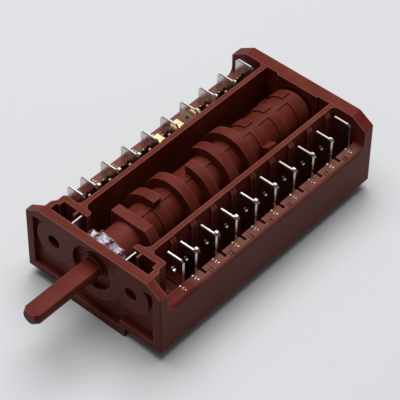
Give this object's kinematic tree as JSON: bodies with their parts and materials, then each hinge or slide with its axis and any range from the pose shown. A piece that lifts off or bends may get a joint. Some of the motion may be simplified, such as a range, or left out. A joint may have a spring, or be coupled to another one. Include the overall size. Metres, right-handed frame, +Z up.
{
  "type": "rotary selector switch",
  "caption": "Rotary cam selector switch with an open moulded housing, a flatted spindle, a camshaft and two rows of blade terminals.",
  "frame": {"origin": "on the spindle's axis, in the front face of the housing, midway between the two mounting holes", "axes": "+Y back along the camshaft, +Z up to the open side of the housing, +X right seen from the front"},
  "size_m": [0.0492, 0.112, 0.0282],
  "materials": {
    "moulding": "satin",
    "camshaft_moulding": "satin",
    "plated_brass": "bright",
    "spring_bronze": "satin",
    "silver": "satin",
    "spring_steel": "satin"
  },
  "bodies": {
    "switch_body": {"housing": "moulding", "terminal_near_1": "plated_brass", "terminal_near_2": "plated_brass", "terminal_near_3": "plated_brass", "terminal_near_4": "plated_brass", "terminal_near_5": "plated_brass", "terminal_near_6": "plated_brass", "terminal_near_7": "plated_brass", "terminal_near_8": "plated_brass", "terminal_near_9": "plated_brass", "terminal_near_10": "plated_brass", "terminal_far_1": "plated_brass", "terminal_far_2": "plated_brass", "terminal_far_3": "plated_brass", "terminal_far_4": "plated_brass", "terminal_far_5": "plated_brass", "terminal_far_6": "plated_brass", "terminal_far_7": "plated_brass", "terminal_far_8": "plated_brass", "terminal_far_9": "plated_brass", "terminal_far_10": "plated_brass", "contact_leaf_1": "spring_bronze", "contact_leaf_2": "spring_bronze", "contact_leaf_3": "spring_bronze", "contact_leaf_4": "spring_bronze", "contact_leaf_5": "spring_bronze", "contact_leaf_6": "spring_bronze", "contact_leaf_7": "spring_bronze", "contact_leaf_8": "spring_bronze", "contact_leaf_9": "spring_bronze", "fixed_contacts": "silver", "moving_contacts": "silver", "detent_spring_near": "spring_steel", "detent_spring_far": "spring_steel"},
    "camshaft": {"camshaft": "camshaft_moulding"},
    "detent_near": {"detent_plate_near": "spring_steel"},
    "detent_far": {"detent_plate_far": "spring_steel"}
  },
  "joints": [
    {"name": "camshaft_spin", "type": "hinge", "parent": "switch_body", "child": "camshaft", "pos_m": [0, 0, 0], "axis": [0, 1, 0], "continuous": true},
    {"name": "detent_near_slide", "type": "slide", "parent": "switch_body", "child": "detent_near", "axis": [1, 0, 0], "range_m": [0, 0.001], "stiffness_N_per_m": 600, "deforming": ["detent_spring_near"]},
    {"name": "detent_far_slide", "type": "slide", "parent": "switch_body", "child": "detent_far", "axis": [-1, 0, 0], "range_m": [0, 0.001], "stiffness_N_per_m": 600, "deforming": ["detent_spring_far"]}
  ]
}
